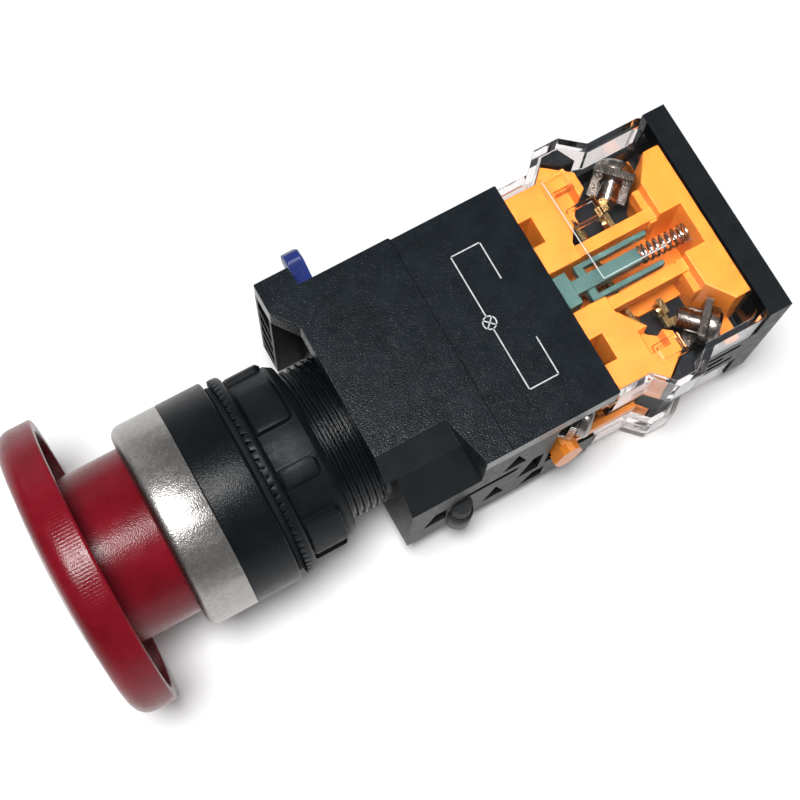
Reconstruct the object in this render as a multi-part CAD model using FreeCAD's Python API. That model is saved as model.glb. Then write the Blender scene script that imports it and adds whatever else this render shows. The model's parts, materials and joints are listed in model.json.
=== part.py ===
"""Illuminated mushroom-head emergency stop button for a 22 mm panel hole.

Millimetres. The origin is the centre of the panel hole at the panel's front face.
+Y points into the panel, towards the contact block. +Z points out of the printed face of
the lamp block. +X is the side that shows the lamp terminal and the orange latch.
"""
import FreeCAD, Part
import math
import os

from FreeCAD import Vector

os.makedirs("parts", exist_ok=True)

# ---- driving dimensions ----
TRAVEL = 5.0                  # stroke of the head
THREAD_R = 11.0               # 22 mm mounting thread
THREAD_PITCH = 1.0
THREAD_DEPTH = 0.45
RUNNING = 0.05                # radial clearance of every running fit
CAP_R = 20.7                  # mushroom cap
CAP_FRONT = -29.4
CAP_BACK = -22.7
NECK_R = 12.1
COLLAR_R = 14.7               # bezel ring and bushing collar
BEZEL_FRONT = -14.6
BEZEL_BACK = -7.6
GASKET_T = 1.0
STEM_R = 8.95
STEM_END = 19.0
BODY_X = 15.8                 # half width of base and lamp block
BODY_Z = 16.0                 # half height of base and lamp block
BASE_FRONT = 14.7
BASE_BACK = 44.2
COVER_FRONT = 13.0            # front edge of the lamp block cover
COVER_SPLIT = 12.0            # seam between base and lamp block cover
WALL = 1.5
BLOCK_X = 15.9                # contact block
BLOCK_Z = 13.5
BLOCK_FRONT = 44.5
BAR_FRONT = 67.1
BLOCK_BACK = 70.4
NUT_PADS = 4                  # wide pads, with a narrow pad between each two
RING_TEETH = 72
RING_T = 1.6                  # toothed clamp ring
WIDE_PAD_ANGLE = -24.0        # turn of the first wide pad from +Z towards +X
SCREW_R = 1.4                 # shank of every terminal screw

NODES = {}


# ---- shape helpers ----
def box(x0, x1, y0, y1, z0, z1):
    return Part.makeBox(x1 - x0, y1 - y0, z1 - z0, Vector(x0, y0, z0))


def rod(radius, y0, y1, x=0.0, z=0.0):
    """Cylinder along Y."""
    return Part.makeCylinder(radius, y1 - y0, Vector(x, y0, z), Vector(0, 1, 0))


def tube(outer, inner, y0, y1, x=0.0, z=0.0):
    return rod(outer, y0, y1, x, z).cut(rod(inner, y0 - 1, y1 + 1, x, z))


def turned(profile):
    """Solid turned about Y from closed (radius, y) points."""
    points = [Vector(r, y, 0) for r, y in profile]
    face = Part.Face(Part.makePolygon(points + points[:1]))
    return face.revolve(Vector(0, 0, 0), Vector(0, 1, 0), 360)


def slab_z(outline, z0, z1):
    """Prism with an (x, y) outline."""
    points = [Vector(x, y, z0) for x, y in outline]
    return Part.Face(Part.makePolygon(points + points[:1])).extrude(Vector(0, 0, z1 - z0))


def slab_y(outline, y0, y1):
    """Prism with an (x, z) outline."""
    points = [Vector(x, y0, z) for x, z in outline]
    return Part.Face(Part.makePolygon(points + points[:1])).extrude(Vector(0, y1 - y0, 0))


def slab_x(outline, x0, x1):
    """Prism with a (y, z) outline."""
    points = [Vector(x0, y, z) for y, z in outline]
    return Part.Face(Part.makePolygon(points + points[:1])).extrude(Vector(x1 - x0, 0, 0))


def arc(centre, radius, start, end, steps):
    """Points on an arc in a two-axis plane, angles in degrees."""
    turn = [math.radians(start + (end - start) * i / steps) for i in range(steps + 1)]
    return [(centre[0] + radius * math.cos(a), centre[1] + radius * math.sin(a)) for a in turn]


def sector(inner, outer, start, end, y0, y1, steps=6):
    """Part of a ring about Y. Angles in degrees from +Z towards +X."""
    rim = [(outer * math.sin(a), outer * math.cos(a)) for a in ring_angles(start, end, steps)]
    core = [(inner * math.sin(a), inner * math.cos(a)) for a in ring_angles(end, start, steps)]
    return slab_y(rim + core, y0, y1)


def ring_angles(start, end, steps):
    return [math.radians(start + (end - start) * i / steps) for i in range(steps + 1)]


def both_sides(shape):
    """The shape and its mirror image at -X, as one group."""
    return [shape, shape.mirror(Vector(0, 0, 0), Vector(1, 0, 0))]


def fuse(first, *others):
    return first.fuse(list(others)).removeSplitter()


def cut(first, *others):
    return first.cut(list(others))


def spring(mean_r, wire_r, y0, y1, turns, x=0.0, z=0.0):
    """Coil spring along Y that fills y0 to y1."""
    length = y1 - y0 - 2 * wire_r
    helix = Part.makeHelix(length / turns, length, mean_r)
    path = Part.Wire(helix.Edges)
    section = Part.Wire(Part.makeCircle(wire_r, Vector(mean_r, 0, 0), Vector(0, 1, 0)))
    coil = path.makePipeShell([section], True, True)
    coil.rotate(Vector(0, 0, 0), Vector(1, 0, 0), -90)
    coil.translate(Vector(x, y0 + wire_r, z))
    return coil


def add(name, *shapes):
    """Record one node, from one solid or a group of separate solids."""
    solids = [s for shape in shapes for s in shape.Solids]
    NODES[name] = solids[0] if len(solids) == 1 else Part.makeCompound(solids)


# ---- operating head ----
CAP_WALL = 1.5
EDGE = 0.3                            # broken edge of the turned pieces
SPRING_FLOOR = -2.4                   # floor of the bushing, where the return spring stands
NECK_END = SPRING_FLOOR - TRAVEL - 0.1
SHELF = (-18.1, -16.3)                # inner shelf of the cap, which turns on the stem
CAVITY_R = NECK_R + 0.3


def mushroom_cap():
    bore = NECK_R - CAP_WALL
    shelf_r = STEM_R + RUNNING
    lip_r = CAP_R - CAP_WALL - EDGE
    front = [(0, CAP_FRONT), (8.3, CAP_FRONT + 0.1), (14.8, CAP_FRONT + 0.55), (17.6, CAP_FRONT + 1.1)]
    corner = arc((CAP_R - 2.4, CAP_FRONT + 3.7), 2.4, -75, 0, 6)
    rim = [(CAP_R, CAP_BACK - EDGE), (CAP_R - EDGE, CAP_BACK)]
    lip = [(lip_r + EDGE, CAP_BACK), (lip_r, CAP_BACK - EDGE)]
    hollow = [(lip_r, -25.3), (lip_r - 0.7, -25.8), (14.2, -25.3)]
    fillet = arc((NECK_R + 1.5, -23.8), 1.5, 270, 180, 4)
    neck = [(NECK_R, NECK_END - EDGE), (NECK_R - EDGE, NECK_END), (bore, NECK_END)]
    inside = [(bore, SHELF[1]), (shelf_r, SHELF[1]), (shelf_r, SHELF[0]), (bore, SHELF[0])]
    dome = [(bore, -25.2), (9.6, -26.6), (6.0, -27.2), (0, CAP_FRONT + 2.0)]
    return turned(front + corner + rim + lip + hollow + fillet + neck + inside + dome)


STEM_FLANGE = -15.0                   # flange of the stem that the return spring pushes
LATCH_Y = 11.7                        # latch ring in the bushing's bore
RIB_HALF_W = 0.8
RIB_R = STEM_R + 0.5


def push_stem():
    groove_y = LATCH_Y - TRAVEL - 0.1
    profile = [
        (7.4, -20.2), (9.6, -20.2), (9.9, -19.6), (9.9, -18.3), (STEM_R, -18.3),
        (STEM_R, -16.1), (10.3, -16.1), (10.3, STEM_FLANGE), (STEM_R, STEM_FLANGE),
        (STEM_R, groove_y), (STEM_R - 0.4, groove_y + 0.4), (STEM_R, groove_y + 0.8),
        (STEM_R, STEM_END), (7.4, STEM_END),
    ]
    ribs = box(-RIB_R, RIB_R, -1.2, 6.0, -RIB_HALF_W, RIB_HALF_W)
    ribs = cut(ribs, rod(8.2, -3, 8)).common(rod(RIB_R, -3, 8))
    return fuse(turned(profile), *ribs.Solids)


def bezel_ring():
    corner = arc((COLLAR_R - 1.5, BEZEL_FRONT + 1.5), 1.5, 270, 360, 6)
    profile = [(12.45, BEZEL_FRONT + 0.4), (12.85, BEZEL_FRONT)] + corner + [
        (COLLAR_R, BEZEL_BACK), (13.65, BEZEL_BACK), (13.65, -13.4), (12.45, -13.4),
    ]
    return turned(profile)


def stem_seal():
    return turned([(12.15, -13.4), (13.6, -13.4), (13.6, -12.0), (12.9, -12.0), (12.15, -12.5)])


TAIL_R = 10.9
TAIL_END = 18.9
ROOM_FRONT = 19.2                     # front of the room inside the base
GROOVE = (15.6, 18.5)                 # lock groove round the tail of the bushing
KEY_HALF_W = 1.0


def threaded_bushing():
    collar = [(CAVITY_R, -11.9), (13.6, -11.9), (13.6, BEZEL_BACK), (COLLAR_R, BEZEL_BACK),
              (COLLAR_R, -GASKET_T - 0.3), (COLLAR_R - 0.3, -GASKET_T)]
    start = 1.0
    turns = int((BASE_FRONT - start - 0.4) / THREAD_PITCH)
    thread = [(TAIL_R, -GASKET_T), (TAIL_R, start)]
    for i in range(turns):
        y = start + i * THREAD_PITCH
        thread += [(THREAD_R - THREAD_DEPTH, y + 0.15), (THREAD_R - THREAD_DEPTH, y + 0.3),
                   (THREAD_R, y + 0.6), (THREAD_R, y + 0.8)]
    end = start + turns * THREAD_PITCH
    tail = [(TAIL_R, end), (TAIL_R, GROOVE[0]), (10.2, GROOVE[0]), (10.2, GROOVE[1]),
            (TAIL_R, GROOVE[1]), (TAIL_R, TAIL_END)]
    bore = STEM_R + RUNNING
    latch_seat = [(bore, 12.4), (9.7, 12.2), (9.7, 11.2), (bore, 11.0)]
    inside = [(bore, TAIL_END)] + latch_seat + [(bore, SPRING_FLOOR), (CAVITY_R, SPRING_FLOOR)]
    body = turned(collar + thread + tail + inside)
    slots = box(-9.6, 9.6, -3, TAIL_END + 1, -RIB_HALF_W - 0.15, RIB_HALF_W + 0.15)
    keyway = box(-KEY_HALF_W - 0.15, KEY_HALF_W + 0.15, 0.0, BASE_FRONT, -12, -10.1)
    return cut(body, slots, keyway)


def latch_ring():
    """Open wire ring that drops into the stem's groove at the end of the stroke."""
    ring = Part.makeTorus(9.35, 0.3, Vector(0, LATCH_Y, 0), Vector(0, 1, 0))
    gap = box(-1.4, 1.4, 10, 14, 8, 11)
    rib_ways = both_sides(box(8.5, 12, 10, 14, -1.2, 1.2))
    return cut(ring, gap, *rib_ways)


def toothed_clamp_ring():
    outer = 14.4
    edge = arc((outer - 0.7, RING_T - 0.7), 0.7, 0, 90, 4)
    blank = turned([(THREAD_R + RUNNING, 0), (outer, 0)] + edge + [(THREAD_R + RUNNING, RING_T)])
    notch = slab_x([(-1, -0.6), (0.7, 0), (-1, 0.6)], 12.8, 16)
    notches = []
    for i in range(RING_TEETH):
        tooth = notch.copy()
        tooth.rotate(Vector(0, 0, 0), Vector(0, 1, 0), 360.0 * i / RING_TEETH)
        notches.append(tooth)
    key = box(-KEY_HALF_W, KEY_HALF_W, 0, RING_T, -11.6, -10.25)
    return fuse(cut(blank, *notches), key)


def nut_pad(half_w, angle, ring):
    """Raised grip pad with a rounded rear end, cut out of a turned ring."""
    front, back, corner = 1.8, 7.0, 1.0
    side = [(half_w, front)] + arc((half_w - corner, back - corner), corner, 0, 90, 4)
    pad = ring.common(slab_z(side + [(-x, y) for x, y in reversed(side)], 11.0, 15.0))
    pad.rotate(Vector(0, 0, 0), Vector(0, 1, 0), angle)
    return pad


def locking_nut():
    core_r, pad_r, front, back = 12.7, 13.5, RING_T + 0.1, 8.4
    core = turned([(THREAD_R + RUNNING, front), (core_r, front), (core_r, 7.4), (12.1, back),
                   (THREAD_R + 0.5, back), (THREAD_R + RUNNING, back - 0.4)])
    ring = turned([(12.0, front + 0.1), (pad_r - 0.2, front + 0.1), (pad_r, 2.2), (pad_r, 6.6),
                   (pad_r - 0.4, 7.0), (12.0, 7.3)])
    pads = []
    for i in range(NUT_PADS):
        turn = 360.0 * i / NUT_PADS
        pads.append(nut_pad(3.6, turn + WIDE_PAD_ANGLE, ring))
        pads.append(nut_pad(1.3, turn + WIDE_PAD_ANGLE + 180.0 / NUT_PADS, ring))
    return fuse(core, *pads)


def panel_gasket():
    return turned([(TAIL_R, -GASKET_T), (13.4, -GASKET_T), (13.7, -0.6), (13.4, 0), (TAIL_R, 0)])


def operating_head():
    add("mushroom_cap", mushroom_cap())
    add("push_stem", push_stem())
    add("return_spring", spring(9.72, 0.35, STEM_FLANGE, SPRING_FLOOR, 6.5))
    add("bezel_ring", bezel_ring())
    add("stem_seal", stem_seal())
    add("threaded_bushing", threaded_bushing())
    add("latch_ring", latch_ring())
    add("panel_gasket", panel_gasket())
    add("toothed_clamp_ring", toothed_clamp_ring())
    add("locking_nut", locking_nut())


# ---- mounting base ----
LEVER_RECESS_R = 12.6
LEVER_REST = 28.0                     # height angle of the lever above -X
LEVER_SWEEP = 34.0                    # how far the lever turns down to unlock
LEVER_SLOT = (15.7, 18.45)
LEVER_Y = (LEVER_SLOT[0] + 0.2, LEVER_SLOT[1] - 0.2)
RETAINER_R = 13.6
LATCH_EAR_X = (-18.8, -14.4)           # ribbed ear in front of the lever
LATCH_EAR_Y = (10.4, 15.4)


def corner_chamfer():
    """Cut along the base's front corner at +X, with a slanted end."""
    section = slab_y([(8.4, BODY_Z), (BODY_X, 6.0), (18.76, 2.0), (20, 2.0), (20, 20), (5.44, 20)], 10, 30)
    limit = slab_z([(0, 8), (22, 8), (22, 26.6), (0, 20.9)], 0, 25)
    return section.common(limit)


def side_windows():
    """Moulded openings of one side wall, in (y, z)."""
    outlines = [
        [(17.0, -7.4), (18.6, -1.4), (20.4, -1.4), (20.4, -7.4)],
        [(22.4, 0.4), (23.4, 1.4), (30.6, 1.4), (31.4, 0.4), (30.6, -0.6), (23.4, -0.6)],
        [(28.4, 3.4), (30.2, 9.6), (32.0, 3.4)],
        [(31.8, -7.0), (33.4, 1.4), (35.0, 1.4), (35.0, -7.0)],
        [(26.6, -11.0), (28.2, -4.6), (30.0, -11.0)],
        [(33.0, -14.0), (34.4, -9.0), (36.4, -9.0), (36.4, -14.0)],
    ]
    return [slab_x(outline, BODY_X - WALL - 1, BODY_X + 1) for outline in outlines]


def latch_ear():
    """Ribbed ear in front of the lock lever."""
    out_x, in_x = LATCH_EAR_X
    front, back = LATCH_EAR_Y
    low = -10.5
    frame = cut(box(out_x, in_x, front, back, low, COVER_SPLIT),
                box(out_x + 0.6, in_x - 0.6, front - 1, back - 1.2, low + 0.9, COVER_SPLIT + 1))
    ribs = []
    for i in range(4):
        z = low + 1.0 + 4.6 * i
        slope = [(out_x + 0.2, z + 3.2), (in_x - 0.2, z), (in_x - 0.2, z + 0.9), (out_x + 0.2, z + 4.1)]
        ribs.append(slab_y(slope, front, back - 0.8))
    return fuse(frame, *ribs)


def lever_room():
    """Bore for the bushing's tail, recess of the lever's ring and slot that its arm swings in."""
    rest = LEVER_REST - 90
    bore = rod(TAIL_R, BASE_FRONT - 1, 20)
    recess = rod(LEVER_RECESS_R, *LEVER_SLOT)
    retainer_seat = rod(RETAINER_R, LEVER_SLOT[1] - 0.05, ROOM_FRONT + 0.1)
    arm_gap = sector(11, 24, rest - LEVER_SWEEP - 11, rest + 12, *LEVER_SLOT, steps=10)
    return [bore, recess, retainer_seat, arm_gap]


def side_lug():
    """Half-round lug of two steps on the side wall."""
    steps = []
    for radius, low, high in ((1.9, -11.5, -6.5), (1.5, -7.0, -2.4)):
        steps.append(Part.makeCylinder(radius, high - low, Vector(BODY_X + 0.1, 22.6, low)))
    return cut(fuse(*steps), box(0, BODY_X - 0.9, 20, 27, -14, 0))


def mounting_base():
    inner_x, floor_z = BODY_X - WALL, -BODY_Z + WALL
    shell = box(-BODY_X, BODY_X, BASE_FRONT, BASE_BACK, -BODY_Z, COVER_SPLIT)
    room = [(-inner_x, floor_z), (inner_x, floor_z), (inner_x, 5.0), (7.4, 11.6), (7.4, 20), (-inner_x, 20)]
    front_room = slab_y(room, ROOM_FRONT, 27.6)
    rear_room = box(-inner_x, inner_x, 27.5, BASE_BACK + 1, floor_z, 20)
    foot = box(-20, 20, 10, 21.5, -20, -14.0)
    nose = slab_z([(13.4, 10), (20, 10), (20, 17.2)], -20, COVER_SPLIT)
    terminal_notch = box(-20, 20, 36.0, BASE_BACK + 1, -6.5, 20)
    shell = cut(shell, front_room, rear_room, foot, nose, terminal_notch, corner_chamfer(), *lever_room())
    windows = side_windows()
    mirrored = [w.mirror(Vector(0, 0, 0), Vector(1, 0, 0)) for w in windows[1:]]
    shell = cut(shell, *windows, *mirrored)
    floor_rib = box(-inner_x, inner_x, 38.0, 39.5, floor_z, -11.5)
    return fuse(shell, latch_ear(), floor_rib, side_lug())


def lock_lever():
    ring = tube(LEVER_RECESS_R - 0.2, TAIL_R + 0.25, *LEVER_Y)
    lugs = [sector(10.3, 11.6, a - 22, a + 22, *LEVER_Y) for a in (45, 225)]
    arm_end = 24.9
    half = 1.9
    arm = slab_y([(-12.0, -half), (-12.0, half), (-arm_end + 0.8, half), (-arm_end, half - 0.9),
                  (-arm_end, -half + 0.9), (-arm_end + 0.8, -half)], *LEVER_Y)
    arm.rotate(Vector(0, 0, 0), Vector(0, 1, 0), LEVER_REST)
    return fuse(ring, arm, *lugs)


def transfer_slider():
    ring = tube(9.6, 7.7, STEM_END + 0.1, 20.6)
    bar = box(-2.6, 2.6, STEM_END + 0.1, 45.0, 8.2, 9.8)
    lower = bar.mirror(Vector(0, 0, 0), Vector(0, 0, 1))
    lamp_way = rod(7.7, STEM_END - 1, 30)
    return cut(fuse(ring, bar, lower), lamp_way)


def base_parts():
    add("mounting_base", mounting_base())
    add("lock_lever", lock_lever())
    retainer = tube(RETAINER_R, TAIL_R + 0.1, LEVER_SLOT[1] + 0.05, ROOM_FRONT)
    add("lever_retainer", cut(retainer, box(-20, 20, 18, 20, COVER_SPLIT - 0.1, 20)))
    add("transfer_slider", transfer_slider())


# ---- lamp block ----
BLOCK_STEP_Y = 28.6
LAMP_TERMINAL = (14.3, 41.0, 4.7)
LAMP_R = 4.6


def lamp_block_cover():
    front = box(-BODY_X - 0.3, BODY_X, COVER_FRONT, BLOCK_STEP_Y, COVER_SPLIT, BODY_Z)
    out_x, in_x = LATCH_EAR_X
    ear_front, ear_back = LATCH_EAR_Y
    ear = [(out_x, ear_front), (in_x, ear_front), (-10.8, COVER_FRONT), (-10.8, ear_back), (out_x, ear_back)]
    ear_top = slab_z(ear, COVER_SPLIT, BODY_Z)
    rear = box(-BODY_X, BODY_X, BLOCK_STEP_Y, BASE_BACK, COVER_SPLIT, BODY_Z - 0.15)
    inner_x = BODY_X - WALL
    back = BASE_BACK - 1.2
    outline = [(-inner_x, 15.5), (3.6, 15.5), (3.6, 27.6), (inner_x, 27.6), (inner_x, back), (-inner_x, back)]
    room = slab_z(outline, COVER_SPLIT - 1, BODY_Z - 1.4)
    return cut(fuse(front, ear_top, rear), room, corner_chamfer())


def lamp_block_body():
    deck = box(-13.8, 13.8, 28.0, 42.6, 10.4, 11.8)
    legs = box(3.6, 5.2, 27.0, 42.6, -8.0, 10.5)
    foot = box(-5.2, 5.2, 26.4, 28.4, -7.6, 7.6)
    shelf = box(5.0, 14.0, 39.0, 42.6, -0.1, 1.5)
    post = tube(5.6, 4.9, -4.0, 26.6)
    return fuse(deck, *both_sides(legs), foot, *both_sides(shelf), post)


def terminal_screw(x, y, z):
    """Pan-head screw with a cross recess. It leans 45 degrees outward and back."""
    head_r, head_t, slot = 2.7, 1.6, 0.3
    profile = [(0, -4.0), (SCREW_R, -4.0), (SCREW_R, 0), (head_r, 0), (head_r, head_t - 0.5),
               (head_r - 0.5, head_t), (0, head_t)]
    screw = cut(turned(profile), box(-1.7, 1.7, 0.7, 2.0, -slot, slot), box(-slot, slot, 0.7, 2.0, -1.7, 1.7))
    screw.rotate(Vector(0, 0, 0), Vector(0, 0, 1), -45)
    screw.translate(Vector(x, y, z))
    return screw


def terminal_clamp(x, y, z):
    """Bent clamp plate under a screw head, with a bored stem."""
    plate = box(-2.8, 2.8, -1.2, -0.2, -3.0, 3.0)
    lip = box(-2.8, 2.8, -2.6, -0.2, -3.0, -2.2)
    clamp = cut(fuse(plate, lip), rod(SCREW_R + 0.15, -4, 2))
    clamp.rotate(Vector(0, 0, 0), Vector(0, 0, 1), -45)
    clamp.translate(Vector(x, y, z))
    return clamp


def led_lamp():
    """Lamp inside the stem, as a metal base and a lens."""
    shell = tube(LAMP_R - 0.2, LAMP_R - 1.0, -6.0, 3.6)
    base = fuse(shell, rod(LAMP_R - 0.2, 2.6, 3.6), rod(1.4, 3.0, 4.0))
    lens = fuse(rod(LAMP_R, -16.0, -6.1), Part.makeSphere(LAMP_R, Vector(0, -16.0, 0)))
    return base, lens


def circuit_board():
    """Board under the cover, its two dropper resistors and the rectifier."""
    top = 12.8
    board = box(-11.0, 11.0, 29.5, 41.0, top - 1.0, top)
    resistor = Part.makeCylinder(0.75, 6.0, Vector(-9.0, 32.0, top + 0.75), Vector(1, 0, 0))
    second = resistor.translated(Vector(7.5, 2.6, 0))
    rectifier = box(4.5, 8.7, 36.2, 40.0, top, top + 1.5)
    return board, [resistor, second], rectifier


def lamp_block_parts():
    base, lens = led_lamp()
    board, resistors, rectifier = circuit_board()
    add("lamp_block_cover", lamp_block_cover())
    add("lamp_block_body", lamp_block_body())
    add("lamp_socket_shell", tube(LAMP_R + 0.25, LAMP_R - 0.1, -5.0, 7.0))
    add("socket_centre_contact", fuse(rod(3.2, 5.2, 6.2), rod(1.0, 4.2, 5.4)))
    add("led_lamp_base", base)
    add("led_lamp_lens", lens)
    add("lamp_circuit_board", board)
    add("dropper_resistors", *resistors)
    add("rectifier", rectifier)
    add("lamp_terminal_clamps", *both_sides(terminal_clamp(*LAMP_TERMINAL)))
    add("lamp_terminal_screws", *both_sides(terminal_screw(*LAMP_TERMINAL)))


# ---- contact block ----
PLUNGER_X = 2.7
PLUNGER_TIP = 57.6
SPRING_SEAT = 48.2                    # plate that the contact spring stands on
SPRING_END = 65.2                     # fixed end of the plunger spring
EAR_X = 18.4
EAR_Y = (49.4, 51.8, 55.6, 58.6)
COVER_WALL = 0.9
POLE_TERMINAL = (12.0, 61.3, 7.2)
COVER_SKIRT = 5.9                     # height of the clear cover's lower edge
COVER_CEILING = BLOCK_Z - 1.0
FRAME_X = 11.6                        # half width of the insulating frame at the bar


def cover_outline(inset):
    x = BLOCK_X - inset
    ear = EAR_X - inset
    lean = 0.45 * inset
    side = [(x, BLOCK_FRONT), (x, EAR_Y[0] + lean), (ear, EAR_Y[1] + lean), (ear, EAR_Y[2] - lean),
            (x, EAR_Y[3] - lean)]
    corner = arc((x - 1.2, BAR_FRONT - inset - 1.2), 1.2, 0, 90, 4)
    right = side + corner
    return right + [(-px, py) for px, py in reversed(right)]


def pocket_rim(x0, x1, y0, y1):
    """Low rim of a moulded pocket under the roof of the clear cover."""
    wall = 0.45
    rim = box(x0, x1, y0, y1, COVER_CEILING - 0.8, COVER_CEILING + 0.2)
    return cut(rim, box(x0 + wall, x1 - wall, y0 + wall, y1 - wall, COVER_CEILING - 1, COVER_CEILING))


def clear_cover():
    """Clear cover, open in front, below, and behind where the insulating frame meets the bar."""
    outer = slab_z(cover_outline(0.0), COVER_SKIRT, BLOCK_Z)
    room = slab_z(cover_outline(COVER_WALL), COVER_SKIRT - 1, COVER_CEILING)
    inner_x = BLOCK_X - COVER_WALL
    mouth = box(-inner_x, inner_x, BLOCK_FRONT - 1, BLOCK_FRONT + 2, 0, COVER_CEILING)
    back_way = box(-FRAME_X - 0.1, FRAME_X + 0.1, BAR_FRONT - 2, BAR_FRONT + 1, 0, COVER_CEILING)
    rims = [pocket_rim(-14.6, -11.6, 50.4, 54.2), pocket_rim(-9.4, -6.4, 51.6, 55.8),
            pocket_rim(11.9, 14.7, 51.8, 55.6)]
    return fuse(cut(outer, room, mouth, back_way), *rims)


def insulating_frame():
    """Insulating frame of one pole: front wall, two guide rails and a rear block."""
    low, high, floor_back = 1.4, 11.4, BAR_FRONT - COVER_WALL - 0.1
    back, back_high = BAR_FRONT - 0.05, COVER_CEILING - 0.15
    front = slab_z([(14.8, 44.7), (14.8, 50.2), (16.6, 52.0), (13.8, 55.6), (11.2, 55.6), (9.6, 53.4),
                    (5.4, 50.4), (3.0, 50.4), (3.0, 44.7)], 4.0, high)
    rail = box(3.3, 5.0, 49.0, 64.0, 7.6, 10.6)
    rear = slab_z([(3.0, 62.2), (8.0, 62.2), (FRAME_X, 64.8), (FRAME_X, back), (3.0, back)], low, back_high)
    nose = box(3.0, 8.0, 61.2, 63.0, 7.6, high - 1.2)
    back_wall = box(-3.2, 3.2, SPRING_END + 0.1, back, low, back_high)
    floor = box(-14.4, 14.4, 44.7, floor_back, low, 2.4)
    floor = cut(floor, *both_sides(box(5.8, 20, 50.8, 64.0, 0, 6)))
    front_post = box(9.0, 14.4, 44.7, 50.0, low, 4.2)
    sides = [s for shape in (front, rail, rear, nose, front_post) for s in both_sides(shape)]
    frame = fuse(floor, back_wall, *sides)
    top_pocket = box(7.2, 11.0, 44.0, 47.3, 1.0, 12)
    ear_pocket = box(9.2, 12.6, 51.6, 54.4, 8.4, 12)
    contact_slot = box(5.6, 9.8, 51.0, 62.0, 3.9, 7.5)
    pockets = [s for shape in (top_pocket, ear_pocket, contact_slot) for s in both_sides(shape)]
    return cut(frame, *pockets)


def plunger():
    head = box(-2.4, 2.4, 45.2, 47.4, 7.2, 11.2)
    bar = box(-1.0, 1.0, 47.0, PLUNGER_TIP, 8.4, 10.6)
    rails = box(2.0, PLUNGER_X, 49.0, 60.0, 8.6, 10.2)
    yoke = box(-PLUNGER_X, PLUNGER_X, 49.0, 50.2, 8.6, 10.2)
    seat = box(-1.8, 1.8, SPRING_SEAT - 0.8, SPRING_SEAT, 3.2, 8.8)
    return fuse(head, bar, *both_sides(rails), yoke, seat)


BRIDGE_Z = (4.6, 7.0)
CONTACT_GAP = 2.6


def contact_bridge(y, facing):
    strip = box(-8.2, 8.2, y, y + 0.6, *BRIDGE_Z)
    face = y + 0.6 if facing > 0 else y - 0.5
    points = [rod(0.9, face, face + 0.5, x, 5.8) for x in (-7.0, 7.0)]
    return fuse(strip, *points)


def fixed_contact(y, facing):
    """Fixed strip whose silvered point meets the bridge, with its tail under the terminal screw."""
    back = y + 0.5 if facing > 0 else y - 1.3
    near = y if facing > 0 else y - 0.5
    point = rod(0.9, near, near + 0.5, 7.0, 5.8)
    strip = box(5.8, 8.0, back, back + 0.8, 4.4, 7.2)
    foot = box(7.8, 9.6, back, back + 0.8, 4.4, 5.6)
    run = box(8.6, 9.6, back, 59.6, 4.4, 5.6)
    return fuse(point, strip, foot, run)


def pole_parts(prefix, flip, bridge_y, facing):
    """One contact pole. The lower pole is the upper one turned over."""
    def place(shape):
        return shape.mirror(Vector(0, 0, 0), Vector(0, 0, 1)) if flip else shape

    meet = bridge_y + 0.6 + 0.5 + CONTACT_GAP if facing > 0 else bridge_y - 0.5 - 0.02
    pieces = {
        "contact_frame": [insulating_frame()],
        "plunger": [plunger()],
        "plunger_spring": [spring(1.15, 0.2, PLUNGER_TIP, SPRING_END, 6.5, 0, 9.4)],
        "contact_bridge": [contact_bridge(bridge_y, facing)],
        "contact_spring": [spring(1.1, 0.2, SPRING_SEAT, bridge_y, 4.0, 0, 5.8)],
        "fixed_contacts": both_sides(fixed_contact(meet, facing)),
        "terminal_clamps": both_sides(terminal_clamp(*POLE_TERMINAL)),
        "terminal_screws": both_sides(terminal_screw(*POLE_TERMINAL)),
        "clear_cover": [clear_cover()],
    }
    for name, shapes in pieces.items():
        add(prefix + "_" + name, *[place(shape) for shape in shapes])


def contact_block_housing():
    bar = box(-BLOCK_X, BLOCK_X, BAR_FRONT, BLOCK_BACK, -BLOCK_Z + 0.1, BLOCK_Z - 0.1)
    web = box(-15.0, 15.0, 45.6, BAR_FRONT + 1, -1.3, 1.3)
    side = box(14.7, BLOCK_X, 57.4, BAR_FRONT + 1, -5.8, 5.8)
    groove = box(BLOCK_X - 0.6, BLOCK_X + 1, 59.0, BAR_FRONT - 1.6, 2.2, 3.6)
    low_groove = groove.mirror(Vector(0, 0, 0), Vector(0, 0, 1))
    middle = box(BLOCK_X - 0.6, BLOCK_X + 1, 59.0, 63.4, -0.8, 0.8)
    side = cut(side, groove, low_groove, middle)
    column = slab_z([(14.9, 56.2), (14.9, 50.6), (EAR_X - 1.0, 52.6), (EAR_X - 1.0, 55.0)], -12.2, 12.2)
    frame_way = slab_z([(14.0, 44.0), (14.9, 50.2), (16.8, 52.0), (14.0, 55.8)], 3.8, 12.4)
    column = cut(column, frame_way, frame_way.mirror(Vector(0, 0, 0), Vector(0, 0, 1)))
    pin = Part.makeCylinder(0.8, 24.8, Vector(16.6, 54.2, -12.4))
    hook = box(11.4, 13.6, 42.8, 47.0, -1.3, 1.3)
    sides = [s for shape in (side, column, pin, hook) for s in both_sides(shape)]
    return fuse(bar, web, *sides)


def block_latch():
    """Sprung latch at +X that holds the contact block on the base."""
    strip = box(14.9, 15.7, 37.0, 50.0, -4.0, -1.5)
    inner = [(36.6, -2.6), (37.6, 1.3), (39.6, 1.3), (40.6, -2.6), (39.4, -6.2), (37.6, -6.2)]
    outer = [(36.4, -3.0), (37.4, 0.4), (38.2, 1.3), (39.0, 1.3), (39.8, 0.4), (40.8, -3.0), (39.8, -6.4),
             (39.0, -7.2), (38.2, -7.2), (37.4, -6.4)]
    return fuse(strip, slab_x(inner, 14.5, 16.0), slab_x(outer, 15.95, 17.3))


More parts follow.
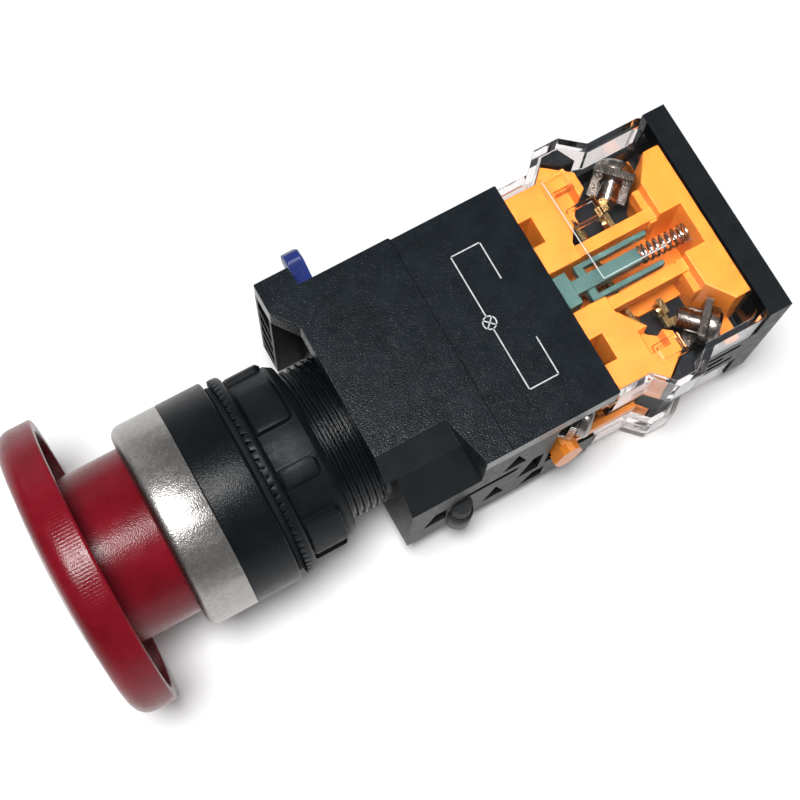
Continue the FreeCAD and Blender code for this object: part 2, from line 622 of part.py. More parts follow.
def contact_block_parts():
    add("contact_block_housing", contact_block_housing())
    add("block_latch", block_latch())
    pole_parts("no", False, 53.0, 1)
    pole_parts("nc", True, 53.6, -1)


operating_head()
base_parts()
lamp_block_parts()
contact_block_parts()
for name, shape in NODES.items():
    if not shape.isValid() or any(not s.isClosed() for s in shape.Shells):
        print("NOT A CLOSED SOLID:", name)
    shape.exportStep("parts/%s.step" % name)
print(len(NODES), "nodes")
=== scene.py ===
"""Looks of the illuminated mushroom-head emergency stop button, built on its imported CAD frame.

Metres, in the row's frame: +Y along the button axis into the panel, +Z out of the printed
face of the lamp block, +X towards the orange latch. Shapes below are given in millimetres.
"""
import json
import math

import bmesh
import bpy
from mathutils import Matrix, Vector


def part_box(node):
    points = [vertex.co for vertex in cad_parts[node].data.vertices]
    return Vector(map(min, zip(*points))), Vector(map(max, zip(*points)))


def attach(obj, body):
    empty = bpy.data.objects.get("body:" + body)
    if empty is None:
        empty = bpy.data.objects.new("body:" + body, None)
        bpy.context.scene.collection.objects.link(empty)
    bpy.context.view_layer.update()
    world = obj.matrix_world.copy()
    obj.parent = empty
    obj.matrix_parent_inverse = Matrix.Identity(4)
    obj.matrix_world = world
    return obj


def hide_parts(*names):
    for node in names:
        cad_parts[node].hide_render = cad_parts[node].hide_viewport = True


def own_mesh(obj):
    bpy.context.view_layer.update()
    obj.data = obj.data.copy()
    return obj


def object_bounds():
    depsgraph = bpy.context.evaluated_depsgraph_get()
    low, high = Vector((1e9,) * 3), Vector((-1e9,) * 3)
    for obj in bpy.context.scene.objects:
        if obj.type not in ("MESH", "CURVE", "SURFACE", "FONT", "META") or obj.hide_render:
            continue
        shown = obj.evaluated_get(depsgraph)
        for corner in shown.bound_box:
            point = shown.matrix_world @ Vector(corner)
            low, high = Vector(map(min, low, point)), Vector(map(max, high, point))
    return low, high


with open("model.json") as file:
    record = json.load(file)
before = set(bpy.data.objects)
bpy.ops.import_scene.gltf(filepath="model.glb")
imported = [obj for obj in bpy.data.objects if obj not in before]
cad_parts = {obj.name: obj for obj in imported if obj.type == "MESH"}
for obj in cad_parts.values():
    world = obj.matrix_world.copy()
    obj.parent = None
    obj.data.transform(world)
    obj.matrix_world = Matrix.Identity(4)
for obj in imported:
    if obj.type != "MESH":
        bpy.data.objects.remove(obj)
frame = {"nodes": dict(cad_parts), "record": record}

MM = 0.001
cad_low, cad_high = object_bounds()
nodes = frame["nodes"]


# ---- node helpers for materials ----
def new_material(name, colour, roughness, metallic=0.0, **sockets):
    """A material whose constant values sit on the shader's own sockets."""
    mat = bpy.data.materials.new(name)
    mat.use_nodes = True
    shader = mat.node_tree.nodes["Principled BSDF"]
    shader.inputs["Base Color"].default_value = (*colour, 1.0)
    shader.inputs["Roughness"].default_value = roughness
    shader.inputs["Metallic"].default_value = metallic
    for key, value in sockets.items():
        shader.inputs[key.replace("_", " ")].default_value = value
    return mat


def add_node(mat, kind, **settings):
    node = mat.node_tree.nodes.new(kind)
    for key, value in settings.items():
        if key in node.inputs:
            node.inputs[key].default_value = value
        else:
            setattr(node, key, value)
    return node


def join(mat, source, target):
    mat.node_tree.links.new(source, target)


def coordinates(mat, squeeze):
    """Object coordinates times squeeze: a texture is that much finer along each axis."""
    coord = add_node(mat, "ShaderNodeTexCoord")
    mapping = add_node(mat, "ShaderNodeMapping")
    mapping.inputs["Scale"].default_value = squeeze
    join(mat, coord.outputs["Object"], mapping.inputs["Vector"])
    return mapping.outputs["Vector"]


def noise(mat, size_mm, detail, squeeze=(1, 1, 1)):
    """Noise whose features are about size_mm across."""
    node = add_node(mat, "ShaderNodeTexNoise", Scale=1000.0 / size_mm, Detail=detail)
    join(mat, coordinates(mat, squeeze), node.inputs["Vector"])
    return node.outputs["Fac"]


NOISE_LOW, NOISE_HIGH = 0.3, 0.7      # where most of a noise's values lie


def spread(mat, source, low, high):
    """A noise's middle range, mapped to low..high."""
    node = add_node(mat, "ShaderNodeMapRange")
    for key, value in (("From Min", NOISE_LOW), ("From Max", NOISE_HIGH), ("To Min", low), ("To Max", high)):
        node.inputs[key].default_value = value
    join(mat, source, node.inputs["Value"])
    return node.outputs["Result"]


MIX_FACTOR, MIX_A, MIX_B = 0, 6, 7    # a colour mix's own inputs, and its output
MIX_RESULT = 2


def vary_colour(mat, source, dark, light):
    """Base colour that a noise moves between dark and light."""
    node = add_node(mat, "ShaderNodeMix", data_type="RGBA")
    node.inputs[MIX_A].default_value = (*dark, 1.0)
    node.inputs[MIX_B].default_value = (*light, 1.0)
    join(mat, spread(mat, source, 0.0, 1.0), node.inputs[MIX_FACTOR])
    join(mat, node.outputs[MIX_RESULT], mat.node_tree.nodes["Principled BSDF"].inputs["Base Color"])


def vary_roughness(mat, source, low, high):
    """Roughness that a noise moves between low and high."""
    shader = mat.node_tree.nodes["Principled BSDF"]
    join(mat, spread(mat, source, low, high), shader.inputs["Roughness"])


def bump(mat, layers):
    """Chained bumps. Each layer is (height source, strength, distance in mm)."""
    shader = mat.node_tree.nodes["Principled BSDF"]
    last = None
    for source, strength, distance in layers:
        node = add_node(mat, "ShaderNodeBump", Strength=strength, Distance=distance * MM)
        join(mat, source, node.inputs["Height"])
        if last:
            join(mat, last, node.inputs["Normal"])
        last = node.outputs["Normal"]
    join(mat, last, shader.inputs["Normal"])


# ---- materials ----
BLACK_DARK = (0.007, 0.0096, 0.0122)
BLACK_LIGHT = (0.0115, 0.0155, 0.0195)


def black_plastic(name, grain_mm, grain, gloss, tone=1.0):
    """Textured black plastic: a fine spark-eroded grain over a slight waviness."""
    dark = [c * tone for c in BLACK_DARK]
    light = [c * tone for c in BLACK_LIGHT]
    mat = new_material(name, light, 0.4, Specular_IOR_Level=0.16)
    vary_colour(mat, noise(mat, 3.0, 4.0), dark, light)
    vary_roughness(mat, noise(mat, 1.2, 3.0), *gloss)
    bump(mat, [(noise(mat, grain_mm, 1.0), grain, 0.05), (noise(mat, grain_mm * 9, 1.0), grain * 0.25, 0.1)])
    return mat


def moulded_plastic(name, dark, light, roughness=(0.3, 0.42), subsurface=0.0):
    """Coloured plastic with a faint flow pattern."""
    mat = new_material(name, light, 0.35, Subsurface_Weight=subsurface, Subsurface_Scale=1.5 * MM)
    vary_colour(mat, noise(mat, 2.5, 3.0), dark, light)
    vary_roughness(mat, noise(mat, 0.9, 2.0), *roughness)
    bump(mat, [(noise(mat, 0.5, 2.0), 0.25, 0.05)])
    return mat


def translucent_red():
    """Red plastic that lets a little light in, with a fine grain."""
    mat = new_material("cap_red", (0.21, 0.003, 0.011), 0.26, Transmission_Weight=0.1, IOR=1.49,
                       Specular_IOR_Level=0.22, Subsurface_Weight=0.15, Subsurface_Scale=2.0 * MM)
    vary_colour(mat, noise(mat, 6.0, 3.0), (0.16, 0.002, 0.008), (0.235, 0.004, 0.014))
    vary_roughness(mat, noise(mat, 1.5, 3.0), 0.2, 0.3)
    bump(mat, [(noise(mat, 0.2, 1.0), 0.7, 0.04)])
    return mat


def satin_metal():
    """Satin plated ring with a fine blasted grain."""
    mat = new_material("bezel_metal", (0.42, 0.405, 0.39), 0.32, 1.0)
    vary_colour(mat, noise(mat, 0.7, 4.0), (0.35, 0.335, 0.32), (0.44, 0.425, 0.41))
    vary_roughness(mat, noise(mat, 0.4, 3.0), 0.28, 0.38)
    bump(mat, [(noise(mat, 0.18, 1.0), 1.0, 0.04)])
    return mat


def bright_metal(name, dark, light):
    """Drawn, stamped or plated metal, with faint marks that run across the button's axis."""
    mat = new_material(name, light, 0.2, 1.0)
    vary_colour(mat, noise(mat, 1.2, 4.0), dark, light)
    vary_roughness(mat, noise(mat, 0.5, 3.0, (1, 4, 1)), 0.14, 0.3)
    bump(mat, [(noise(mat, 0.3, 2.0, (1, 5, 1)), 0.2, 0.03)])
    return mat


LAMP_TINT = (0.93, 0.92, 0.91)


def let_lamps_through(mat):
    """Clear plastic shades nothing behind it: lamps pass straight through."""
    path = add_node(mat, "ShaderNodeLightPath")
    clear = add_node(mat, "ShaderNodeBsdfTransparent")
    clear.inputs["Color"].default_value = (*LAMP_TINT, 1.0)
    mix = add_node(mat, "ShaderNodeMixShader")
    join(mat, path.outputs["Is Shadow Ray"], mix.inputs[0])
    join(mat, mat.node_tree.nodes["Principled BSDF"].outputs[0], mix.inputs[1])
    join(mat, clear.outputs[0], mix.inputs[2])
    join(mat, mix.outputs[0], mat.node_tree.nodes["Material Output"].inputs["Surface"])


def clear_plastic():
    """Thin clear moulding with a slight haze and waviness."""
    mat = new_material("clear_plastic", (0.93, 0.90, 0.895), 0.04, Transmission_Weight=1.0, IOR=1.22,
                       Specular_IOR_Level=0.9)
    vary_roughness(mat, noise(mat, 3.0, 3.0), 0.015, 0.07)
    bump(mat, [(noise(mat, 4.0, 2.0), 0.12, 0.1)])
    let_lamps_through(mat)
    return mat


def print_white():
    """Pad-printed ink, a little uneven."""
    mat = new_material("print_white", (0.62, 0.64, 0.66), 0.6)
    vary_colour(mat, noise(mat, 0.5, 2.0), (0.45, 0.47, 0.49), (0.68, 0.69, 0.70))
    return mat


MATERIALS = {
    "cap_red": translucent_red(),
    "stem_white": moulded_plastic("stem_white", (0.62, 0.60, 0.55), (0.72, 0.70, 0.66), subsurface=0.1),
    "spring_steel": bright_metal("spring_steel", (0.42, 0.41, 0.40), (0.62, 0.61, 0.60)),
    "bezel_metal": satin_metal(),
    "seal_rubber": black_plastic("seal_rubber", 0.4, 0.35, (0.6, 0.75)),
    "head_black": black_plastic("head_black", 0.18, 0.8, (0.26, 0.34), 0.5),
    "ring_black": black_plastic("ring_black", 0.2, 0.4, (0.36, 0.46), 0.6),
    "nut_black": black_plastic("nut_black", 0.18, 0.6, (0.4, 0.5), 0.6),
    "base_black": black_plastic("base_black", 0.2, 0.35, (0.38, 0.48), 0.6),
    "cover_black": black_plastic("cover_black", 0.18, 0.7, (0.16, 0.24), 1.05),
    "block_black": black_plastic("block_black", 0.22, 0.45, (0.36, 0.5), 0.85),
    "lever_blue": moulded_plastic("lever_blue", (0.008, 0.02, 0.14), (0.013, 0.03, 0.2)),
    "slider_grey": moulded_plastic("slider_grey", (0.24, 0.24, 0.24), (0.33, 0.33, 0.32)),
    "brass": bright_metal("brass", (0.55, 0.38, 0.16), (0.72, 0.53, 0.25)),
    "nickel": bright_metal("nickel", (0.15, 0.135, 0.125), (0.44, 0.41, 0.38)),
    "lens_red": moulded_plastic("lens_red", (0.5, 0.01, 0.01), (0.62, 0.02, 0.02), (0.1, 0.18)),
    "board_green": moulded_plastic("board_green", (0.02, 0.14, 0.05), (0.03, 0.2, 0.08)),
    "component_grey": moulded_plastic("component_grey", (0.25, 0.22, 0.18), (0.34, 0.3, 0.26)),
    "frame_orange": moulded_plastic("frame_orange", (0.74, 0.21, 0.018), (0.84, 0.27, 0.03), (0.28, 0.4),
                                    subsurface=0.05),
    "plunger_green": moulded_plastic("plunger_green", (0.04, 0.105, 0.098), (0.065, 0.15, 0.14)),
    "plunger_red": moulded_plastic("plunger_red", (0.3, 0.015, 0.02), (0.4, 0.03, 0.035)),
    "clear_plastic": clear_plastic(),
    "print_white": print_white(),
}


SLOTS = {entry["node"]: entry["material_slot"] for entry in frame["record"]["subparts"]}


# ---- mesh helpers, in millimetres ----
SHARP_ANGLE = 35.0            # degrees: sharper edges than this stay sharp
WELD_DISTANCE = 0.0005


def new_piece(name, points, faces, body, material, slot=None):
    """A cleaned mesh that rides on body."""
    mesh = bpy.data.meshes.new(name)
    mesh.from_pydata([Vector(p) * MM for p in points], [], faces)
    tidy = bmesh.new()
    tidy.from_mesh(mesh)
    bmesh.ops.remove_doubles(tidy, verts=tidy.verts, dist=WELD_DISTANCE * MM)
    bmesh.ops.recalc_face_normals(tidy, faces=tidy.faces)
    for face in tidy.faces:
        face.smooth = True
    tidy.to_mesh(mesh)
    tidy.free()
    mesh.set_sharp_from_angle(angle=math.radians(SHARP_ANGLE))
    mesh.materials.append(MATERIALS[material])
    obj = bpy.data.objects.new(name, mesh)
    bpy.context.scene.collection.objects.link(obj)
    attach(obj, body)
    return obj


CORNER_STEPS = 6


def rounded(corners):
    """Closed outline from (u, v, radius) corners."""
    points = []
    for i, (u, v, radius) in enumerate(corners):
        corner = Vector((u, v))
        if radius == 0:
            points.append((u, v))
            continue
        before = (Vector(corners[i - 1][:2]) - corner).normalized()
        after = (Vector(corners[(i + 1) % len(corners)][:2]) - corner).normalized()
        half = before.angle(after) / 2
        centre = corner + (before + after).normalized() * radius / math.sin(half)
        start = corner + before * radius / math.tan(half) - centre
        end = corner + after * radius / math.tan(half) - centre
        first = math.atan2(start.y, start.x)
        turn = math.remainder(math.atan2(end.y, end.x) - first, 2 * math.pi)
        for k in range(CORNER_STEPS + 1):
            a = first + turn * k / CORNER_STEPS
            points.append((centre.x + radius * math.cos(a), centre.y + radius * math.sin(a)))
    return points


def lathe(profile, steps, radius_at):
    """Closed (radius, y) profile turned about Y. radius_at(r, y, angle) shapes each point."""
    points, faces = [], []
    count = len(profile)
    for k in range(steps):
        angle = 2 * math.pi * k / steps
        for r, y in profile:
            shaped_r = radius_at(r, y, angle)
            points.append((shaped_r * math.sin(angle), y, shaped_r * math.cos(angle)))
    for k in range(steps):
        a, b = k * count, (k + 1) % steps * count
        for i in range(count):
            j = (i + 1) % count
            faces.append((a + i, a + j, b + j, b + i))
    return points, faces


def merge(*shapes):
    """Several (points, faces) shapes as one."""
    points, faces = [], []
    for new_points, new_faces in shapes:
        start = len(points)
        points += new_points
        faces += [tuple(start + i for i in face) for face in new_faces]
    return points, faces


def prism(outline, z0, z1):
    """Prism with an (x, y) outline."""
    count = len(outline)
    points = [(x, y, z) for z in (z0, z1) for x, y in outline]
    sides = [(i, (i + 1) % count, count + (i + 1) % count, count + i) for i in range(count)]
    return points, sides + [tuple(range(count))[::-1], tuple(range(count, 2 * count))]


def hollow_prism(outer, inner, z0, z1):
    """Ring-shaped prism between two outlines with as many points."""
    count = len(outer)
    loops = [(outer, z0), (outer, z1), (inner, z1), (inner, z0)]
    points = [(x, y, z) for outline, z in loops for x, y in outline]
    faces = []
    for k in range(4):
        a, b = k * count, (k + 1) % 4 * count
        faces += [(a + i, a + (i + 1) % count, b + (i + 1) % count, b + i) for i in range(count)]
    return points, faces


def stroke(start, end, width, z0, z1):
    """Straight printed line between two (x, y) points."""
    a, b = Vector(start), Vector(end)
    along = (b - a).normalized() * width / 2
    side = Vector((-along.y, along.x))
    corners = [a - along - side, b + along - side, b + along + side, a - along + side]
    return prism([tuple(c) for c in corners], z0, z1)


CIRCLE_STEPS = 32


def round_outline(x, y, radius):
    turns = [2 * math.pi * k / CIRCLE_STEPS for k in range(CIRCLE_STEPS)]
    return [(x + radius * math.cos(a), y + radius * math.sin(a)) for a in turns]


# ---- CAD nodes ----
NODE_WELD = 0.002
BEVEL_ANGLE = 30.0            # degrees: only sharper edges than this are rounded
EDGE_WIDTHS = {
    "mounting_base": 0.25, "lamp_block_cover": 0.3, "contact_block_housing": 0.25, "lock_lever": 0.55,
    "block_latch": 0.3, "bezel_ring": 0.12, "locking_nut": 0.22, "toothed_clamp_ring": 0.05,
    "lever_retainer": 0.15, "push_stem": 0.15, "panel_gasket": 0.1, "stem_seal": 0.1,
    "lamp_block_body": 0.2, "lamp_socket_shell": 0.1, "led_lamp_base": 0.15, "lamp_circuit_board": 0.1,
    "rectifier": 0.2, "lamp_terminal_clamps": 0.15, "lamp_terminal_screws": 0.15, "transfer_slider": 0.2,
    "socket_centre_contact": 0.1, "dropper_resistors": 0.2,
}
POLE_EDGE_WIDTHS = {
    "contact_frame": 0.2, "plunger": 0.15, "contact_bridge": 0.1, "fixed_contacts": 0.1,
    "terminal_clamps": 0.15, "terminal_screws": 0.15, "clear_cover": 0.3,
}


def soften_edges(obj, width):
    """Small rounded edges on a CAD node, as its moulded or stamped original has."""
    weld = obj.modifiers.new("weld", "WELD")
    weld.merge_threshold = NODE_WELD * MM
    edge = obj.modifiers.new("edge", "BEVEL")
    edge.width = width * MM
    edge.segments = 2
    edge.limit_method = "ANGLE"
    edge.angle_limit = math.radians(BEVEL_ANGLE)
    edge.harden_normals = True


def dress_frame():
    """Gives every CAD node its procedural material and its soft edges."""
    widths = dict(EDGE_WIDTHS)
    for prefix in ("no_", "nc_"):
        widths.update({prefix + name: width for name, width in POLE_EDGE_WIDTHS.items()})
    for name, obj in nodes.items():
        obj.data.materials.clear()
        obj.data.materials.append(MATERIALS[SLOTS[name]])
        if name in widths:
            soften_edges(obj, widths[name])


# ---- operating head ----
CAP_R = 20.7
CAP_FRONT = -29.4
CAP_BACK = -22.7
CAP_EDGE_R = 2.4              # round between the front and the rim
CAP_WALL = 2.0                # behind the dome
DOME_RISE = 1.1               # how far the front falls back at DOME_R
DOME_R = 17.6
DOME_STEP = 1.3
DOME_STEPS = 14
LIP = 1.7
NECK_R = 12.1
NECK_BORE_R = NECK_R - 1.5
NECK_END = -7.5
SHELF_R = 9.0                 # inner shelf of the cap, which turns on the stem
SHELF_Y = (-18.1, -16.3)
RIDGES = 280
RIDGE_DEPTH = 0.02
RIDGE_Y = (-26.4, -23.1)
STEPS_PER_RIDGE = 4
RIM_START = CAP_FRONT + 3.9
RIM_STEP = 0.3
RIM_STEPS = 8


def ridged(r, y, angle):
    """Fine grip ridges round the rim of the cap."""
    if r < CAP_R - 0.01 or not RIDGE_Y[0] < y < RIDGE_Y[1]:
        return r
    return r - RIDGE_DEPTH * (0.5 + 0.5 * math.cos(RIDGES * angle))


def mushroom_cap():
    """Cap with a domed front, a hollow behind its rim and a bored neck."""
    dome = []
    for k in range(DOME_STEPS):
        r = DOME_STEP * k
        dome.append((r, CAP_FRONT + DOME_RISE * (r / DOME_R) ** 3, 0))
    rim = [(CAP_R, RIM_START + RIM_STEP * k, 0) for k in range(RIM_STEPS)]
    lip_r = CAP_R - LIP
    corners = dome + [(CAP_R, CAP_FRONT + 1.3, CAP_EDGE_R)] + rim + [
        (CAP_R, CAP_BACK, 0.35), (lip_r, CAP_BACK, 0.35), (lip_r - 0.5, -25.6, 1.2),
        (NECK_R, -25.3, 1.8), (NECK_R, NECK_END, 0.3), (NECK_BORE_R, NECK_END, 0.2),
        (NECK_BORE_R, SHELF_Y[1], 0), (SHELF_R, SHELF_Y[1], 0), (SHELF_R, SHELF_Y[0], 0),
        (NECK_BORE_R, SHELF_Y[0], 0), (NECK_BORE_R, -26.2, 2.0), (0, CAP_FRONT + CAP_WALL, 0),
    ]
    points, faces = lathe(rounded(corners), RIDGES * STEPS_PER_RIDGE, ridged)
    cap = new_piece("cap_moulding", points, faces, "cap", "cap_red", "cap_red")
    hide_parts("mushroom_cap")


BUSHING_STEPS = 288
CAVITY_R = 12.4               # room for the cap's neck and the return spring
CAVITY_Y = (-11.9, -2.4)
SLEEVE_R = 13.6               # under the metal ring
COLLAR_R = 14.7
COLLAR_Y = (-7.6, -1.0)
BORE_R = 9.0
TAIL_R = 10.9
TAIL_END = 18.9
LOCK_GROOVE_R = 10.2          # groove round the tail, where the lock lever holds it
LOCK_GROOVE_Y = (15.6, 18.5)
LATCH_SEAT_R = 9.7            # groove that holds the latch ring
LATCH_SEAT_Y = (11.2, 12.2)
THREAD_R = 11.0
THREAD_CORE = 10.55
THREAD_Y = (1.0, 14.0)
THREAD_PITCH = 1.0
THREAD_STEP = 0.06
FLANK_SLOPE = 8.0             # rise of the flanks, in thread depths per pitch
FLANK_TOP = 2.6               # where the flanks would meet, in thread depths
KEYWAY_R = 10.1               # floor of the slot that keys the toothed ring
KEYWAY_Y = (0.0, 14.7)
KEYWAY_HALF = 1.15
RIB_SLOT_R = 9.6              # floor of the two slots for the stem's ribs
RIB_SLOT_HALF = 0.95


def thread_form(turn):
    """Height of a worn trapezoid thread over one pitch, 0 to 1."""
    return min(1.0, max(0.0, FLANK_TOP - abs(turn % 1.0 - 0.5) * FLANK_SLOPE))


def bushing_radius(r, y, angle):
    """The bushing's turned radius, cut by its slots and by the helical thread."""
    x, z = r * math.sin(angle), r * math.cos(angle)
    if abs(r - BORE_R) < 0.01 and abs(z) < RIB_SLOT_HALF:
        return RIB_SLOT_R
    if r > KEYWAY_R and KEYWAY_Y[0] < y < KEYWAY_Y[1] and z < 0 and abs(x) < KEYWAY_HALF:
        return KEYWAY_R
    if r == THREAD_R:
        lift = thread_form(y / THREAD_PITCH - angle / (2 * math.pi))
        return THREAD_CORE + (THREAD_R - THREAD_CORE) * lift
    return r


def threaded_bushing():
    """Bushing with a true helical thread, the key slot and the two slots for the stem's ribs."""
    rows = int((THREAD_Y[1] - THREAD_Y[0]) / THREAD_STEP)
    thread = [(THREAD_R, THREAD_Y[0] + THREAD_STEP * k, 0) for k in range(rows + 1)]
    corners = [
        (CAVITY_R, CAVITY_Y[0], 0.1), (SLEEVE_R, CAVITY_Y[0], 0.1), (SLEEVE_R, COLLAR_Y[0], 0),
        (COLLAR_R, COLLAR_Y[0], 0.15), (COLLAR_R, COLLAR_Y[1], 0.35), (TAIL_R, COLLAR_Y[1], 0),
        (TAIL_R, THREAD_Y[0] - 0.1, 0),
    ] + thread + [
        (TAIL_R, THREAD_Y[1] + 0.2, 0), (TAIL_R, LOCK_GROOVE_Y[0], 0), (LOCK_GROOVE_R, LOCK_GROOVE_Y[0], 0),
        (LOCK_GROOVE_R, LOCK_GROOVE_Y[1], 0), (TAIL_R, LOCK_GROOVE_Y[1], 0), (TAIL_R, TAIL_END, 0),
        (BORE_R, TAIL_END, 0), (BORE_R, LATCH_SEAT_Y[1] + 0.2, 0), (LATCH_SEAT_R, LATCH_SEAT_Y[1], 0),
        (LATCH_SEAT_R, LATCH_SEAT_Y[0], 0), (BORE_R, LATCH_SEAT_Y[0] - 0.2, 0),
        (BORE_R, CAVITY_Y[1], 0), (CAVITY_R, CAVITY_Y[1], 0),
    ]
    points, faces = lathe(rounded(corners), BUSHING_STEPS, bushing_radius)
    bushing = new_piece("bushing_moulding", points, faces, "root", "head_black", "head_black")
    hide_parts("threaded_bushing")


# ---- springs ----
STEPS_PER_TURN = 32
WIRE_STEPS = 10
CLOSED_PITCH = 1.05           # of the closed end coils, in wire thicknesses
RETURN_COIL = (9.72, 0.35, 8)         # each coil's mean radius, wire radius and turns
CONTACT_COIL = (1.1, 0.2, 5)
PLUNGER_COIL = (1.15, 0.2, 9)
RETURN_Y = (-15.0, -2.4)
CONTACT_Z = 5.8
PLUNGER_Z = 9.4


def coil_height(turn, turns, wire_r, length):
    """Height of the wire's centre after so many turns, with a closed coil at each end."""
    closed = 2 * wire_r * CLOSED_PITCH
    active = (length - 2 * wire_r - 2 * closed) / (turns - 2)
    height = wire_r + closed * min(turn, 1) + active * min(max(turn - 1, 0), turns - 2)
    return height + closed * max(turn - turns + 1, 0)


def coil(size, y0, y1, z=0.0):
    """Compression spring along Y."""
    mean_r, wire_r, turns = size
    steps = turns * STEPS_PER_TURN
    points, faces = [], []
    for k in range(steps + 1):
        turn = k / STEPS_PER_TURN
        y = y0 + coil_height(turn, turns, wire_r, y1 - y0)
        a = 2 * math.pi * turn
        for j in range(WIRE_STEPS):
            b = 2 * math.pi * j / WIRE_STEPS
            r = mean_r + wire_r * math.cos(b)
            points.append((r * math.cos(a), y + wire_r * math.sin(b), z + r * math.sin(a)))
    for k in range(steps):
        here, there = k * WIRE_STEPS, (k + 1) * WIRE_STEPS
        for j in range(WIRE_STEPS):
            i = (j + 1) % WIRE_STEPS
            faces.append((here + j, here + i, there + i, there + j))
    faces.append(tuple(range(WIRE_STEPS)))
    faces.append(tuple(steps * WIRE_STEPS + j for j in range(WIRE_STEPS))[::-1])
    return points, faces


def spring_piece(node, shape, body):
    """Stands in for a CAD spring."""
    points, faces = shape
    obj = new_piece(node + "_coil", points, faces, body, "spring_steel", "spring_steel")
    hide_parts(node)
    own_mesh(obj)


def return_spring():
    front, back = RETURN_Y
    spring_piece("return_spring", coil(RETURN_COIL, front, back), "root")


def pole_springs(prefix, side):
    """Contact spring and plunger spring of one pole. side is 1 above and -1 below."""
    front, back = (corner.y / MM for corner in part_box(prefix + "_contact_spring"))
    spring_piece(prefix + "_contact_spring", coil(CONTACT_COIL, front, back, CONTACT_Z * side),
                 prefix + "_plunger_body")
    front, back = (corner.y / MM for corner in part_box(prefix + "_plunger_spring"))
    spring_piece(prefix + "_plunger_spring", coil(PLUNGER_COIL, front, back, PLUNGER_Z * side),
                 "root")


# ---- printed lines ----
COVER_PRINT_Z = (15.84, 15.87)
COVER_LINE = 0.17
SYMBOL_X = 10.0
SYMBOL_Y = (34.3, 38.55)
SYMBOL_GAP = 4.5
LAMP_R = 0.885
BLOCK_PRINT_Z = (13.5, 13.53)
BLOCK_LINE = 0.16
BLOCK_CORNERS = ((-13.8, 50.5), (1.3, 50.8), (1.3, 60.2))


def cover_print():
    """White circuit symbol: a lamp between two wires that run to the terminals."""
    front, back = SYMBOL_Y
    lines = []
    for side in (-1, 1):
        end_x = side * SYMBOL_X
        lines += [((side * LAMP_R, front), (end_x, front)), ((end_x, front), (end_x, back)),
                  ((end_x, back), (side * SYMBOL_GAP, back))]
        slant = LAMP_R * math.sqrt(0.5)
        lines.append(((-slant, front - side * slant), (slant, front + side * slant)))
    shapes = [stroke(a, b, COVER_LINE, *COVER_PRINT_Z) for a, b in lines]
    outer = round_outline(0, front, LAMP_R + COVER_LINE / 2)
    inner = round_outline(0, front, LAMP_R - COVER_LINE / 2)
    shapes.append(hollow_prism(outer, inner, *COVER_PRINT_Z))
    new_piece("cover_print", *merge(*shapes), "root", "print_white")


def block_print():
    """Bent white line printed on both clear covers."""
    start, bend, end = BLOCK_CORNERS
    strokes = [stroke(a, b, BLOCK_LINE, *BLOCK_PRINT_Z) for a, b in ((start, bend), (bend, end))]
    points, faces = merge(*strokes)
    turned_over = [(x, y, -z) for x, y, z in points]
    for prefix, place in (("no", points), ("nc", turned_over)):
        new_piece(prefix + "_cover_print", place, faces, "root", "print_white")


dress_frame()
mushroom_cap()
threaded_bushing()
return_spring()
pole_springs("no", 1)
pole_springs("nc", -1)
cover_print()
block_print()


# ---- floor, light and camera ----
FLOOR_HALF = 3.0
FLOOR_GAP = 0.3               # below the lowest point of the object
FLOOR_WHITE = (0.93, 0.93, 0.93)


def make_floor():
    mesh = bpy.data.meshes.new("floor")
    half, z = FLOOR_HALF, cad_low.z - FLOOR_GAP * MM
    corners = [(-half, -half, z), (half, -half, z), (half, half, z), (-half, half, z)]
    mesh.from_pydata(corners, [], [(0, 1, 2, 3)])
    mesh.materials.append(new_material("floor", FLOOR_WHITE, 0.75))
    floor = bpy.data.objects.new("floor", mesh)
    bpy.context.scene.collection.objects.link(floor)


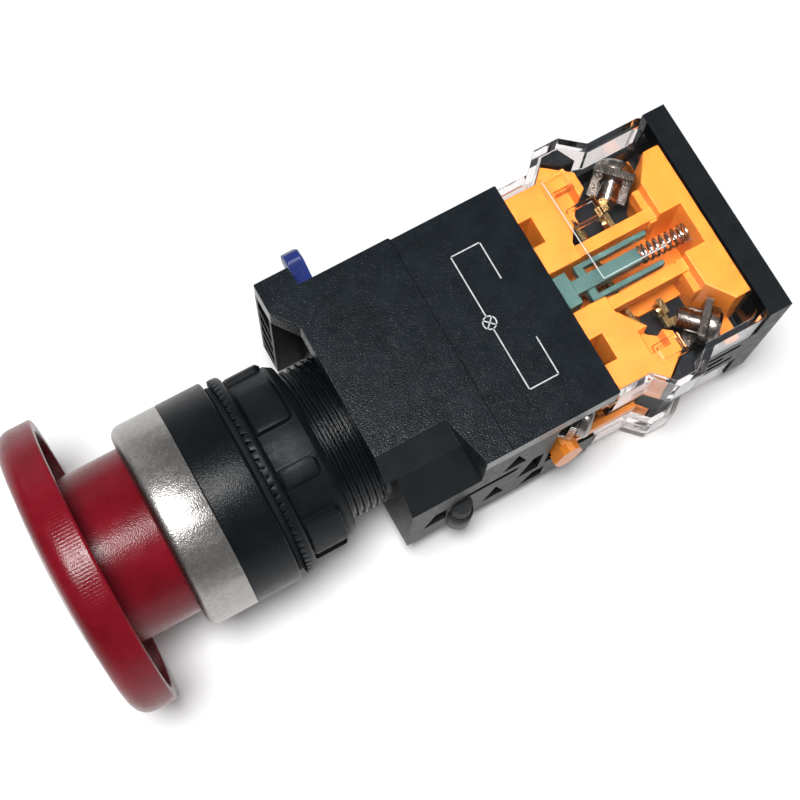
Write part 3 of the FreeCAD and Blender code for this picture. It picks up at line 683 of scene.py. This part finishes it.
def make_light(name, place, aim, size, watts):
    data = bpy.data.lights.new(name, "AREA")
    data.shape = "DISK"
    data.size = size
    data.energy = watts
    lamp = bpy.data.objects.new(name, data)
    lamp.location = place
    lamp.rotation_euler = (Vector(aim) - Vector(place)).to_track_quat("-Z", "Y").to_euler()
    bpy.context.scene.collection.objects.link(lamp)


SKY = (0.97, 0.985, 1.0)
SKY_STRENGTH = 0.24


def make_world():
    world = bpy.data.worlds.new("studio")
    world.use_nodes = True
    background = world.node_tree.nodes["Background"]
    background.inputs["Color"].default_value = (*SKY, 1.0)
    background.inputs["Strength"].default_value = SKY_STRENGTH
    bpy.context.scene.world = world


CAMERA_DISTANCE = 0.215       # from the button's axis
CAMERA_TILT = 12.5            # degrees from +Z towards +X
CAMERA_FOOT = -0.0118         # its place along the axis
AXIS_ANGLE = 28.0             # degrees, how steeply the button's axis rises in the picture
AIM = Vector((0.0002, 0.0156, 0.0))
SENSOR_WIDTH = 36.0           # millimetres, as the lens
LENS = 72.48
SHIFT = (0.05, 0.03)


def make_camera():
    data = bpy.data.cameras.new("camera")
    data.sensor_width = SENSOR_WIDTH
    data.lens = LENS
    data.shift_x, data.shift_y = SHIFT
    data.clip_start, data.clip_end = 0.01, 10.0
    cam = bpy.data.objects.new("camera", data)
    tilt = math.radians(CAMERA_TILT)
    place = Vector((CAMERA_DISTANCE * math.sin(tilt), CAMERA_FOOT, CAMERA_DISTANCE * math.cos(tilt)))
    back = (place - AIM).normalized()
    along = Vector((0, 1, 0))
    along = (along - along.dot(back) * back).normalized()
    across = along.cross(back)
    angle = math.radians(AXIS_ANGLE)
    right = along * math.cos(angle) + across * math.sin(angle)
    up = back.cross(right)
    cam.matrix_world = Matrix((right, up, back)).transposed().to_4x4()
    cam.location = place
    bpy.context.scene.collection.objects.link(cam)
    bpy.context.scene.camera = cam


make_floor()
make_world()
make_light("flash", (0.03, -0.055, 0.56), (0, 0, 0), 0.17, 3.4)
make_light("fill", (-0.9, -0.2, 0.35), (0, 0.02, 0), 0.5, 0.4)
make_camera()
bpy.context.scene.view_settings.view_transform = "Standard"
